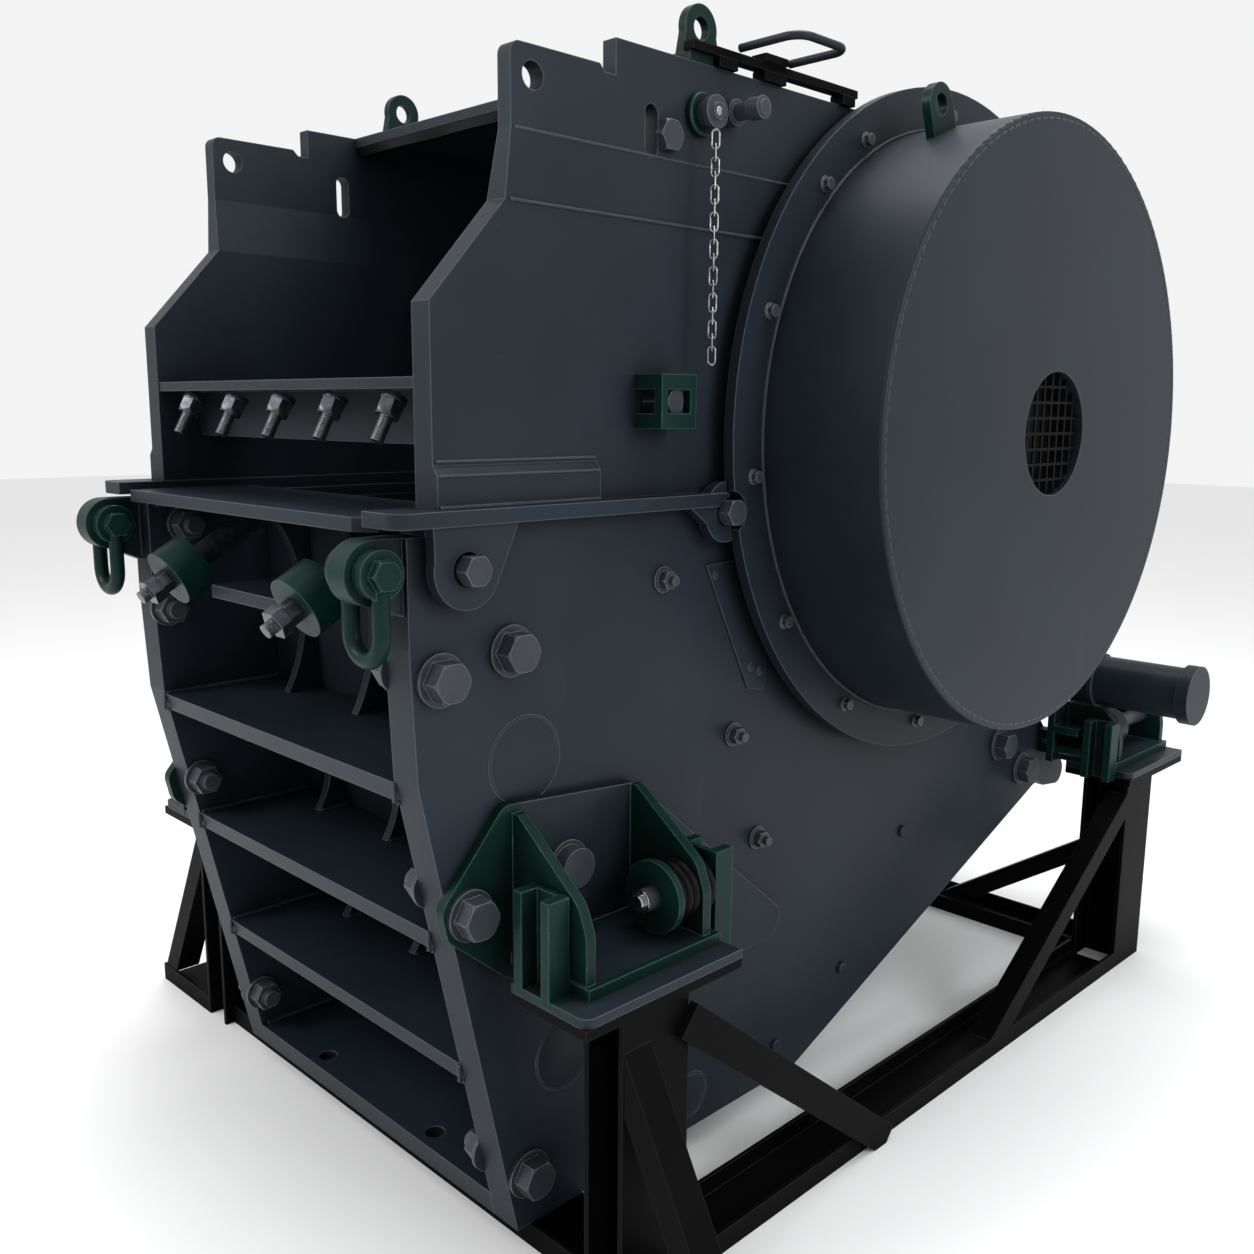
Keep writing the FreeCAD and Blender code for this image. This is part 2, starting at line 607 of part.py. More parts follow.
def buffer_set():
    """Green disc, rubber rings and the steel pin through the rear gusset."""
    disc = rod(AY, (BUFFER_X, 232, BUFFER_Z), 16, 80).cut(rod(AY, (BUFFER_X, 230, BUFFER_Z), 20, 25.5))
    pin = fused([rod(AY, (BUFFER_X, 198, BUFFER_Z), 173, 25), rod(AY, (BUFFER_X, 186, BUFFER_Z), 12, 17)])
    rings = []
    for y0, count in ((248, 3), (342, 1)):
        for k in range(count):
            ring = Part.makeTorus(58, 12, Vector(BUFFER_X, y0 + 12 + 21.5 * k, BUFFER_Z), AY)
            rings.append(ring)
    core = [rod(AY, (BUFFER_X, 248, BUFFER_Z), 68, 58), rod(AY, (BUFFER_X, 340, BUFFER_Z), 31, 58)]
    rubber = fused(rings[:3] + [core[0]]), fused(rings[3:] + [core[1]])
    hole = rod(AY, (BUFFER_X, 200, BUFFER_Z), 260, 25.5)
    room = box(600, 900, 248, 316, 600, 900), box(600, 900, 340, 371, 600, 900)
    rubber = [r.cut(hole).common(b) for r, b in zip(rubber, room)]
    return disc, pin, Part.makeCompound(rubber)


disc, pin, rubber = buffer_set()
pair("buffer_rubbers", rubber)
bolts.append(pin)

REAR_BASE = SEAT_TOPS[1] + BLACK_T + GREY_T
REAR_PIN_X, REAR_PIN_Z = 770.0, REAR_BASE + 112.0
REAR_GUIDE_X = 766.0
TUBE_Y, TUBE_Z, TUBE_R = 2440.0, 895.0, 84.0
COLLAR_R = TUBE_R + 8
tube_room = rod(AX, (INNER, TUBE_Y, TUBE_Z), 600, COLLAR_R + 1)


def rear_bracket():
    """Base, back plate, two gussets and a front shelf, carried by two bars from the lug."""
    top = REAR_BASE + 26
    back_x = HALF_WIDTH + 40
    base = box(back_x, BASE_EDGE, 2352, 2765, REAR_BASE, top)
    back = box(back_x, back_x + 24, 2300, 2765, REAR_BASE, top + 235)
    shelf = box(back_x, REAR_GUIDE_X, 2300, 2352, 722, 746)
    webs = []
    for y in (2400, 2735):
        outline = [(back_x + 10, top), (back_x + 10, top + 225), (back_x + 80, top + 225),
                   (BASE_EDGE - 22, top + 110), (BASE_EDGE - 14, top + 60), (BASE_EDGE - 14, top)]
        webs.append(slab_y(outline, y, y + 24))
    bars = [box(HALF_WIDTH - 10, back_x + 20, REAR_EDGE, REAR_EDGE + 42, z, z + 32) for z in (636, 684)]
    rung = rod(AX, (back_x, 2324, 664), REAR_GUIDE_X - back_x, 17)
    bracket = fused([base, back, shelf, rung] + webs + bars)
    return bracket.cut(rod(AY, (REAR_PIN_X, 2290, REAR_PIN_Z), 600, 26)).cut(tube_room)


def rear_lug():
    """Thick rounded lug welded to the frame's lower rear corner."""
    plate = slab_x([(REAR_EDGE, 760), (REAR_EDGE + 16, 745), (2532, 552), (2496, 484), (2400, 497),
                    (REAR_EDGE, 535)], INNER + 6, HALF_WIDTH - 10)
    end = rod(AX, (INNER + 6, 2496, 530), PLATE - 16, 46)
    return fused([plate, end])


rear_guide = guide_channel(2340, -1, REAR_GUIDE_X, 96, SEAT_TOPS[1] + 14, 782)
pair("rear_brackets", Part.makeCompound([rear_bracket(), rear_guide]))
rear_grey, rear_black = seat_stack(2352, 2780, SEAT_TOPS[1])
rear_pin = rod(AY, (REAR_PIN_X, 2353, REAR_PIN_Z), 420, 25)
rear_disc = rod(AY, (REAR_PIN_X, 2440, REAR_PIN_Z), 60, 62).cut(
    rod(AY, (REAR_PIN_X, 2430, REAR_PIN_Z), 80, 25.5))
bolts.append(rear_pin)
pair("buffer_discs", Part.makeCompound([disc, rear_disc]))
pair("rear_lugs", rear_lug())
pair("seat_plates", Part.makeCompound([front_grey, rear_grey]))

# rear cross tube
tube = rod(AX, (-1031, TUBE_Y, TUBE_Z), 2062, TUBE_R)
caps = [rod(AX, (x, TUBE_Y, TUBE_Z), 40, TUBE_R + 12) for x in (-1070, 1030)]
collars = [rod(AX, (x, TUBE_Y, TUBE_Z), 16, COLLAR_R) for x in (-756, 740)]
saddles = [box(x, x + 40, 2332, 2500, 700, 900) for x in (-400, 360)]
parts["rear_tube"] = fused([tube] + caps + collars + saddles)

# top fittings on the right: lifting eyes, slotted rail and handle


def lifting_eye(x):
    ring = rod(AX, (x - 11, EYE_Y, EYE_Z), 22, 50)
    foot = slab_x([(EYE_Y - 64, HOP_TOP), (EYE_Y - 48, EYE_Z - 8), (EYE_Y + 48, EYE_Z - 8),
                   (EYE_Y + 66, HOP_TOP)], x - 11, x + 11)
    base = box(x - 11, x + 45, EYE_Y - 72, EYE_Y, HOP_TOP, HOP_TOP + 22)
    return fused([ring, foot, base]).cut(rod(AX, (x - 40, EYE_Y, EYE_Z), 100, 24))


EYE_Y, EYE_Z = 567.0, 2601.0
pair("lifting_eyes", lifting_eye(562))
rail = box(592, 622, 490, 1085, 2538, 2556)
pads = [box(588, 626, y, y + w, HOP_TOP, 2538) for y, w in ((570, 60), (725, 75), (1020, 50))]
pads.append(box(588, 630, 720, 800, 2556, 2572))
parts["top_rail"] = fused([rail.cut(box(600, 614, 640, 700, 2530, 2560))] + pads)


def handle():
    z, r = 2566.0, 9.0
    x0, x1, y0, y1, bend = 623.0, 785.0, 640.0, 815.0, 40.0
    h = bend * (1 - cos(radians(45)))
    pts = [Vector(x0, y0, z), Vector(x1 - bend, y0, z), Vector(x1 - h, y0 + h, z),
           Vector(x1, y0 + bend, z), Vector(x1, y1 - bend, z), Vector(x1 - h, y1 - h, z),
           Vector(x1 - bend, y1, z), Vector(x0, y1, z)]
    path = Part.Wire([Part.LineSegment(pts[0], pts[1]).toShape(),
                      Part.Arc(pts[1], pts[2], pts[3]).toShape(),
                      Part.LineSegment(pts[3], pts[4]).toShape(),
                      Part.Arc(pts[4], pts[5], pts[6]).toShape(),
                      Part.LineSegment(pts[6], pts[7]).toShape()])
    ring = Part.Wire([Part.Circle(pts[0], AX, r).toShape()])
    return path.makePipeShell([ring], True, False)


parts["top_handle"] = handle()

# locking pin with its chain, a stud, a plug and a clamp on the right hopper side
PIN_Y, PIN_Z = 522.0, 2410.0
STUD_Y, STUD_Z = 620.0, 2428.0
PLUG_Y, PLUG_Z = 422.0, 2353.0


def stepped_pin(y, z, steps):
    """Round steps standing out from the hopper side, each (distance out, length, radius)."""
    return fused([rod(AX, (HOP_HIGH + out, y, z), length, r) for out, length, r in steps])


lock_pin = stepped_pin(PIN_Y, PIN_Z, ((0, 16, 42), (16, 22, 26), (38, 14, 34), (52, 6, 18)))
stud = stepped_pin(STUD_Y, STUD_Z, ((0, 24, 28), (24, 40, 19), (64, 34, 24), (98, 4, 16)))
plug = hexagon(AX, (HOP_HIGH, PLUG_Y, PLUG_Z), 60, 20)


def chain_link(z, turned):
    """One oval link, at right angles to its neighbours."""
    half, r, wire = 11.0, 8.0, 2.5
    out = []
    for s in (-1, 1):
        bend = Part.makeTorus(r, wire, Vector(0, 0, s * half), AY)
        half_space = Part.makeBox(60, 60, 30, Vector(-30, -30, half if s > 0 else -half - 30))
        out.append(bend.common(half_space))
        out.append(Part.makeCylinder(wire, 2 * half, Vector(s * r, 0, -half), AZ))
    link = fused(out)
    link.rotate(Vector(0, 0, 0), AZ, -45 if turned else 45)
    link.translate(Vector(CHAIN_X, CHAIN_Y, z))
    return link


CHAIN_X = HOP_HIGH + 56
CHAIN_Y = PIN_Y - 10
CHAIN_TOP = 2352.0
LINK_PITCH = 28.0
LINKS = 17
parts["safety_chain"] = Part.makeCompound(
    [chain_link(CHAIN_TOP - LINK_PITCH * k, k % 2 == 1) for k in range(LINKS)])


CLAMP_Y, CLAMP_Z = 389.0, 1805.0


def side_clamp():
    y0, y1 = CLAMP_Y - 53, CLAMP_Y + 53
    z0, z1 = CLAMP_Z - 57, CLAMP_Z + 57
    bars = [box(HOP_LOW, HOP_LOW + 84, y0, y1, z, z + 32) for z in (z0, z1 - 32)]
    posts = [box(HOP_LOW + 62, HOP_LOW + 84, y, y + 18, z0 + 32, z1 - 32) for y in (y0, y1 - 18)]
    return fused(bars + posts)


parts["side_clamp"] = side_clamp()
clamp_screw = hexagon(AX, (HOP_LOW, CLAMP_Y, CLAMP_Z), 46, 74)
one_node("frame_bolts", *bolts, *[mirrored(b) for b in bolts], lock_pin, stud, plug, clamp_screw)

# stand: posts with seat plates, channel rails and braces


def post(y, seat, depth):
    x0 = SIDE_FACE - depth
    flange = 12.0
    solids = [box(x0, x0 + flange, y, y + POST_W, FLOOR, seat),
              box(SIDE_FACE - flange, SIDE_FACE, y, y + POST_W, FLOOR, seat),
              box(x0, SIDE_FACE, y + POST_W / 2 - 5, y + POST_W / 2 + 5, FLOOR, seat)]
    return fused(solids)


def channel_y(x0, x1, y0, y1):
    web = box(x0, x1, y0, y1, FLOOR, FLOOR + 10)
    lips = [box(x0, x0 + 10, y0, y1, FLOOR, FLOOR + RAIL_H), box(x1 - 10, x1, y0, y1, FLOOR, FLOOR + RAIL_H)]
    return fused([web] + lips)


def channel_x(x0, x1, y0, y1):
    web = box(x0, x1, y0, y1, FLOOR, FLOOR + 10)
    lips = [box(x0, x1, y0, y0 + 10, FLOOR, FLOOR + RAIL_H), box(x0, x1, y1 - 10, y1, FLOOR, FLOOR + RAIL_H)]
    return fused([web] + lips)


def span(a, b):
    """Length and slope of a straight bar between two points in an upright plane."""
    return hypot(b[0] - a[0], b[1] - a[1]), degrees(atan2(b[1] - a[1], b[0] - a[0]))


def brace_y(x0, x1, a, b, width):
    """A brace in the YZ plane from a to b (y, z), cut square at its ends."""
    length, angle = span(a, b)
    solid = Part.makeBox(x1 - x0, length, width, Vector(x0, 0, -width / 2))
    solid.rotate(Vector(0, 0, 0), AX, angle)
    solid.translate(Vector(0, a[0], a[1]))
    return solid


def brace_x(y0, y1, a, b, width):
    """A brace in the XZ plane from a to b (x, z)."""
    length, angle = span(a, b)
    solid = Part.makeBox(length, y1 - y0, width, Vector(0, y0, -width / 2))
    solid.rotate(Vector(0, 0, 0), AY, -angle)
    solid.translate(Vector(a[0], 0, a[1]))
    return solid


for name, y, seat, depth, black in zip(("front", "rear"), POST_FRONTS, SEAT_TOPS, POST_DEPTHS,
                                       (front_black, rear_black)):
    both_sides("stand_post_" + name, fused([post(y, seat, depth), black]))

RAIL_IN = SIDE_FACE - RAIL_W
side_start = POST_FRONTS[0] + POST_W
both_sides("stand_side_rail", channel_y(RAIL_IN, SIDE_FACE, side_start, POST_FRONTS[1]))
one_node("stand_cross_rails",
         channel_x(-SIDE_FACE + POST_DEPTHS[0], SIDE_FACE - POST_DEPTHS[0], 40, 200),
         channel_x(SIDE_FACE, FOOT_X, 14, 184), channel_x(-FOOT_X, -SIDE_FACE, 14, 184),
         channel_x(-SIDE_FACE + POST_DEPTHS[1], SIDE_FACE - POST_DEPTHS[1], 2350, 2510))

front_brace = brace_y(SIDE_FACE, SIDE_FACE + 22, (186, 560), (950, FLOOR + 6), 78)
front_brace = front_brace.cut(box(800, 1000, -500, 3000, -500, FLOOR))
rear_brace = brace_y(SIDE_FACE - 66, SIDE_FACE, (1520, FLOOR + 20), (2410, 560), 66)
rear_brace = rear_brace.cut(box(700, 1000, POST_FRONTS[1] - 1, 3000, -500, 900))
rear_brace = rear_brace.cut(box(700, 1000, -500, 3000, -500, FLOOR + RAIL_H))
outer = brace_x(16, 92, (870, 560), (1225, FLOOR - 40), 62)
outer = outer.cut(box(0, SIDE_FACE, -100, 400, -500, 900))
outer = outer.cut(box(0, 1500, -100, 400, -500, FLOOR + RAIL_H))
cross = brace_x(2390, 2450, (200, FLOOR), (860, 380), 62)
cross = cross.cut(box(SIDE_FACE - POST_DEPTHS[1], 1200, 2000, 3000, -500, 900))
cross = cross.cut(box(-1500, 1500, 2000, 3000, -500, FLOOR + RAIL_H))
both_sides("stand_braces", Part.makeCompound([front_brace, rear_brace, outer, cross]))

# centre the whole on X and Y, stand it on Z = 0 and write one file a node

whole = Part.makeCompound(list(parts.values())).BoundBox
shift = Vector(-(whole.XMin + whole.XMax) / 2, -(whole.YMin + whole.YMax) / 2, -whole.ZMin)
os.makedirs("parts", exist_ok=True)
total = 0.0
for name, shape in parts.items():
    shape.translate(shift)
    shape.exportStep("parts/" + name + ".step")
    total += shape.Volume
    if not shape.isValid():
        print("not valid:", name)
print("nodes", len(parts), "shift", [round(v, 3) for v in shift], "box",
      [round(v, 1) for v in (whole.XLength, whole.YLength, whole.ZLength)],
      "steel kg", round(total * 7.85e-6))
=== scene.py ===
import bpy
import json
import numpy as np
from mathutils import Matrix


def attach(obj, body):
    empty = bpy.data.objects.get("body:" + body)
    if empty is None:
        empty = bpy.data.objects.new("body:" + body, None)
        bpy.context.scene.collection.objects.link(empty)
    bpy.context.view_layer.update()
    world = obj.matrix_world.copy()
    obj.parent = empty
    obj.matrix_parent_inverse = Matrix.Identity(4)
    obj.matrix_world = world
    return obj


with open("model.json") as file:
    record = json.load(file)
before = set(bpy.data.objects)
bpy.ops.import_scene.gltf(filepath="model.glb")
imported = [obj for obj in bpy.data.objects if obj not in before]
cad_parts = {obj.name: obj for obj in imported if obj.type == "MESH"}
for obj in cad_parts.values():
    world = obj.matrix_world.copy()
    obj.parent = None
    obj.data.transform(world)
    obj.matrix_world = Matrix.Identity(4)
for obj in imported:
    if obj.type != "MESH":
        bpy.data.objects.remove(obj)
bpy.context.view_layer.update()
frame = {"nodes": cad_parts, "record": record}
print("stage: frame loaded,", len(frame["nodes"]), "nodes")

# machine millimetres, as in the part's source, become the frame's metres
shiftY, shiftZ = -1199.0, 60.0


def toFrame(points):
    return (np.asarray(points, float) + [0.0, shiftY, shiftZ]) / 1000.0


# meshes


def gridFaces(rows, columns, wrapRows=False, wrapColumns=False):
    # quads between neighbouring points of a grid, the last joined to the first where it wraps
    r = np.arange(rows if wrapRows else rows - 1)
    c = np.arange(columns if wrapColumns else columns - 1)
    r, c = np.meshgrid(r, c, indexing="ij")
    r1, c1 = (r + 1) % rows, (c + 1) % columns
    quads = np.stack([r * columns + c, r * columns + c1, r1 * columns + c1, r1 * columns + c], -1)
    return quads.reshape(-1, 4)


def closedTube(points):
    # a grid of rings closed at both ends by fans to the ring's middle
    rows, columns = points.shape[:2]
    vertices = np.concatenate([points.reshape(-1, 3), points[:1].mean(1), points[-1:].mean(1)])
    faces = gridFaces(rows, columns, wrapColumns=True)
    k = np.arange(columns)
    k1 = (k + 1) % columns
    first, last = rows * columns, rows * columns + 1
    start = np.stack([np.full(columns, first), k1, k], -1)
    end = np.stack([np.full(columns, last), (rows - 1) * columns + k, (rows - 1) * columns + k1], -1)
    return vertices, faces, np.concatenate([start, end])


def turned(profile, centre, axis, sides=40):
    # a profile of (distance along the axis, radius) spun about the axis through the centre
    profile = np.asarray(profile, float)
    axis = np.asarray(axis, float) / np.linalg.norm(axis)
    side = np.cross(axis, [0.0, 0.0, 1.0] if abs(axis[2]) < 0.9 else [1.0, 0.0, 0.0])
    side /= np.linalg.norm(side)
    up = np.cross(axis, side)
    angle = np.linspace(0, 2 * np.pi, sides, endpoint=False)
    ring = np.cos(angle)[:, None] * side + np.sin(angle)[:, None] * up
    points = np.asarray(centre) + profile[:, :1, None] * axis + profile[:, 1:, None] * ring
    return closedTube(points)


def hexHead(flats, height, centre, axis, sides=36):
    # a nut: at each angle the radius is the smaller of the six flats' and a cone's at the top
    angle = np.linspace(0, 2 * np.pi, sides, endpoint=False)
    flatsRadius = flats / 2 / np.cos((angle + np.pi / 6) % (np.pi / 3) - np.pi / 6)
    levels = np.array([0.0, 0.72, 0.86, 0.97, 1.0]) * height
    cone = np.array([9.0, 0.59, 0.56, 0.525, 0.50]) * flats
    radius = np.minimum(flatsRadius[None, :], cone[:, None])
    axis = np.asarray(axis, float) / np.linalg.norm(axis)
    side = np.cross(axis, [0.0, 0.0, 1.0] if abs(axis[2]) < 0.9 else [1.0, 0.0, 0.0])
    side /= np.linalg.norm(side)
    up = np.cross(axis, side)
    ring = np.cos(angle)[:, None] * side + np.sin(angle)[:, None] * up
    points = np.asarray(centre) + levels[:, None, None] * axis + radius[..., None] * ring[None]
    return closedTube(points)


def tubeAlong(path, radius, sides=10, squash=1.0, reference=(0.0, 0.0, 1.0)):
    # circles of the given radius carried along a path, flattened along the reference direction
    path = np.asarray(path, float)
    tangent = np.gradient(path, axis=0)
    tangent /= np.linalg.norm(tangent, axis=1, keepdims=True)
    side = np.cross(tangent, reference)
    side /= np.linalg.norm(side, axis=1, keepdims=True)
    up = np.cross(side, tangent)
    angle = np.linspace(0, 2 * np.pi, sides, endpoint=False)
    radius = np.broadcast_to(radius, len(path))[:, None, None]
    ring = np.cos(angle)[None, :, None] * side[:, None] + squash * np.sin(angle)[None, :, None] * up[:, None]
    return closedTube(path[:, None] + radius * ring)


def loftedPlate(outline, thickness, axisIndex, start):
    # an outline of points in a plane, carried a thickness along one axis
    outline = np.asarray(outline, float)
    low, high = outline.copy(), outline.copy()
    low[:, axisIndex], high[:, axisIndex] = start, start + thickness
    return closedTube(np.stack([low, high]))


def weldPath(a, b, step=2.0):
    a, b = np.asarray(a, float), np.asarray(b, float)
    n = max(int(np.linalg.norm(b - a) / step), 4)
    return a + np.linspace(0, 1, n)[:, None] * (b - a)


def weldBead(path, radius, seed, reference=(0.0, 0.0, 1.0)):
    # overlapping drops: the radius follows a rectified sine along the bead, with a seeded wobble
    rng = np.random.default_rng(seed)
    along = np.concatenate([[0], np.cumsum(np.linalg.norm(np.diff(path, axis=0), axis=1))])
    drops = np.abs(np.sin(along * np.pi / (radius * 1.5))) ** 0.6
    wobble = np.interp(along, np.linspace(0, along[-1], max(int(along[-1] / 25), 2)),
                       rng.uniform(0.85, 1.1, max(int(along[-1] / 25), 2)))
    shape = radius * (0.80 + 0.20 * drops) * wobble
    shape[0] *= 0.5
    shape[-1] *= 0.5
    return tubeAlong(path, shape, sides=8, reference=reference)


def threadedRod(radius, start, direction, length, pitch=3.2, sides=20):
    # a screw thread: the radius is a triangle wave of distance along the rod less the turn angle
    n = int(length / pitch * 6)
    along = np.linspace(0, length, n)
    angle = np.linspace(0, 2 * np.pi, sides, endpoint=False)
    turn = (along[:, None] / pitch - angle[None] / (2 * np.pi)) % 1.0
    shape = radius * (1 - 0.11 * np.abs(2 * turn - 1))
    direction = np.asarray(direction, float) / np.linalg.norm(direction)
    side = np.cross(direction, [1.0, 0.0, 0.0])
    side /= np.linalg.norm(side)
    up = np.cross(direction, side)
    ring = np.cos(angle)[:, None] * side + np.sin(angle)[:, None] * up
    points = np.asarray(start) + along[:, None, None] * direction + shape[..., None] * ring[None]
    return closedTube(points)


def mirroredToo(parts):
    # the same parts on the left side, with their faces turned to keep pointing outwards
    out = list(parts)
    for vertices, *faces in parts:
        out.append((vertices * [-1, 1, 1], *[f[:, ::-1] for f in faces]))
    return out


def makePiece(name, parts, material, body="crusher", smooth=True, inMillimetres=True):
    vertices, faces, base = [], [], 0
    for points, *groups in parts:
        vertices.append(points)
        for group in groups:
            faces += (group + base).tolist()
        base += len(points)
    points = np.concatenate(vertices)
    mesh = bpy.data.meshes.new(name)
    mesh.from_pydata((toFrame(points) if inMillimetres else points).tolist(), [], faces)
    mesh.update()
    piece = bpy.data.objects.new(name, mesh)
    bpy.context.scene.collection.objects.link(piece)
    if smooth:
        mesh.shade_smooth()
        mesh.set_sharp_from_angle(angle=np.radians(38))
    mesh.materials.append(material)
    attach(piece, body)
    return piece


# shader sockets that take Python arithmetic


class Wire:
    def __init__(self, shader, socket):
        self.shader, self.socket = shader, socket

    def math(self, operation, *values):
        inputs = dict(enumerate(values))
        return self.shader.add("ShaderNodeMath", {"operation": operation}, inputs)["Value"]

    def __add__(self, other):
        return self.math("ADD", self, other)

    __radd__ = __add__

    def __sub__(self, other):
        return self.math("SUBTRACT", self, other)

    def __rsub__(self, other):
        return self.math("SUBTRACT", other, self)

    def __mul__(self, other):
        return self.math("MULTIPLY", self, other)

    __rmul__ = __mul__

    def __truediv__(self, other):
        return self.math("DIVIDE", self, other)

    def __pow__(self, other):
        return self.math("POWER", self, other)

    def most(self, other):
        return self.math("MAXIMUM", self, other)

    def between(self, low, high):
        # a smooth step from nought at low to one at high
        return self.shader.add("ShaderNodeMapRange", {"interpolation_type": "SMOOTHSTEP"},
                               {"Value": self, "From Min": low, "From Max": high})["Result"]

    def blend(self, first, second):
        # the first colour where this is nought, the second where it is one
        return self.shader.add("ShaderNodeMix", {"data_type": "RGBA"},
                               {"Factor_Float": self, "A_Color": first, "B_Color": second})["Result_Color"]


class Shader:
    def __init__(self, name):
        self.material = bpy.data.materials.new(name)
        self.material.use_nodes = True
        self.tree = self.material.node_tree
        self.tree.nodes.clear()
        self.place = self.add("ShaderNodeTexCoord", {}, {})["Object"]

    def add(self, kind, settings, inputs):
        node = self.tree.nodes.new(kind)
        for key, value in settings.items():
            setattr(node, key, value)
        for key, value in inputs.items():
            socket = node.inputs[key] if isinstance(key, int) else next(
                s for s in node.inputs if key in (s.identifier, s.name))
            if isinstance(value, Wire):
                self.tree.links.new(value.socket, socket)
            else:
                socket.default_value = value
        outputs = {s.name: Wire(self, s) for s in node.outputs}
        outputs.update({s.identifier: Wire(self, s) for s in node.outputs})
        return outputs

    def noise(self, scale, detail=4.0, roughness=0.55, stretch=(1.0, 1.0, 1.0)):
        place = self.add("ShaderNodeMapping", {}, {"Vector": self.place, "Scale": stretch})["Vector"]
        return self.add("ShaderNodeTexNoise", {}, {"Vector": place, "Scale": scale, "Detail": detail,
                                                   "Roughness": roughness})["Fac"]

    def corners(self, radius):
        # one at corners that a rounding of this radius would turn, nought on flat faces
        rounded = self.add("ShaderNodeBevel", {"samples": 4}, {"Radius": radius})["Normal"]
        plain = self.add("ShaderNodeNewGeometry", {}, {})["Normal"]
        same = self.add("ShaderNodeVectorMath", {"operation": "DOT_PRODUCT"}, {0: rounded, 1: plain})["Value"]
        return rounded, (1.0 - same).between(0.015, 0.14)

    def axes(self):
        # the place in the machine's own millimetres
        split = self.add("ShaderNodeSeparateXYZ", {}, {"Vector": self.place})
        return split["X"] * 1000.0, split["Y"] * 1000.0 - shiftY, split["Z"] * 1000.0 - shiftZ

    # one minus ambient occlusion, high in crevices and near other parts; the paints use it to paint shade into their
    # base colours
    def crevices(self, distance):
        return 1.0 - self.add("ShaderNodeAmbientOcclusion", {"samples": 4}, {"Distance": distance})["AO"]

    def finish(self, color, roughness, metallic, bumpHeight, bumpStrength, normal=None, fixed=None):
        bump = self.add("ShaderNodeBump", {}, {"Height": bumpHeight, "Strength": bumpStrength,
                                               "Distance": 0.002, **({"Normal": normal} if normal else {})})
        values = {"Base Color": color, "Roughness": roughness, "Metallic": metallic,
                  "Normal": bump["Normal"], **(fixed or {})}
        surface = self.add("ShaderNodeBsdfPrincipled", {}, values)["BSDF"]
        self.add("ShaderNodeOutputMaterial", {}, {"Surface": surface})
        return self.material


# paint, steel, rubber and jaw iron


def paintedSteel(name, look, other=None, mask=None):
    # where a mask is given, the other look's colours show where it is one
    s = Shader(name)
    second = mask(s) if mask else None

    def color(key):
        return second.blend(look[key], other[key]) if mask else look[key]

    rounded, corner = s.corners(look["rounding"])
    broad = s.noise(look["patchScale"], 5.0)
    grain = s.noise(90.0, 3.0)
    streak = s.noise(7.0, 5.0, 0.6, (1.0, 1.0, 0.18))
    # painted shade: the base colour darkens towards the shade colour where ambient occlusion finds crevices and
    # parts close by, broken up by the streaks
    paintedShade = (s.crevices(look["paintedShadeReach"]) * (0.75 + 0.5 * streak)).between(0.12, 0.75)
    base = broad.between(0.3, 0.7).blend(color("dark"), color("light"))
    base = (streak.between(0.58, 0.8) * look["streaks"]).blend(base, color("faded"))
    base = (grain.between(0.66, 0.76) * look["specks"]).blend(base, color("speckColor"))
    base = (paintedShade * look["paintedShadeAmount"]).blend(base, look["paintedShade"])
    rub = (corner * s.noise(26.0, 4.0).between(look["wearFrom"], look["wearFrom"] + 0.16)).between(0.25, 0.75)
    # painted highlight: edges that a rounding would turn are lightened towards the corner colour
    base = (corner * look["cornerSheen"]).blend(base, color("cornerHighlightColor"))
    base = (rub * look["wear"]).blend(base, look["wearColor"])
    rough = look["roughness"] + 0.16 * (broad - 0.5) + 0.10 * (grain - 0.5) + 0.22 * paintedShade - 0.06 * rub
    metal = rub * look["wear"] * 0.4
    height = 0.5 * grain + 0.5 * s.noise(14.0, 2.0) - 0.4 * rub
    return s.finish(base, rough, metal, height, look["bump"], rounded,
                    {"Specular IOR Level": look["specular"], "Coat Weight": look["coat"],
                     "Coat Roughness": look["coatRoughness"]})


# in each look, the darkest colour is painted shade for crevices and parts close by, and the corner colour is a
# painted highlight along edges
slateLook = {
    "dark": (0.0100, 0.0148, 0.0205, 1), "light": (0.0145, 0.0206, 0.0280, 1), "faded": (0.021, 0.028, 0.036, 1),
    "speckColor": (0.042, 0.047, 0.053, 1), "paintedShade": (0.0025, 0.003, 0.0035, 1),
    "cornerHighlightColor": (0.150, 0.175, 0.205, 1), "wearColor": (0.20, 0.215, 0.23, 1), "patchScale": 1.7,
    "streaks": 0.4, "specks": 0.3, "paintedShadeAmount": 0.8, "paintedShadeReach": 0.16, "cornerSheen": 0.8, "wear": 0.5,
    "wearFrom": 0.54, "roughness": 0.44, "specular": 0.12, "rounding": 0.0035, "bump": 0.14, "coat": 0.05,
    "coatRoughness": 0.25}
greenLook = {**slateLook,
             "dark": (0.0022, 0.0150, 0.0112, 1), "light": (0.0034, 0.0205, 0.0158, 1),
             "faded": (0.008, 0.033, 0.026, 1), "speckColor": (0.014, 0.045, 0.036, 1),
             "cornerHighlightColor": (0.050, 0.140, 0.115, 1), "paintedShade": (0.001, 0.0035, 0.003, 1), "roughness": 0.36,
             "specular": 0.09, "coat": 0.04, "coatRoughness": 0.15, "rounding": 0.004, "patchScale": 4.0}
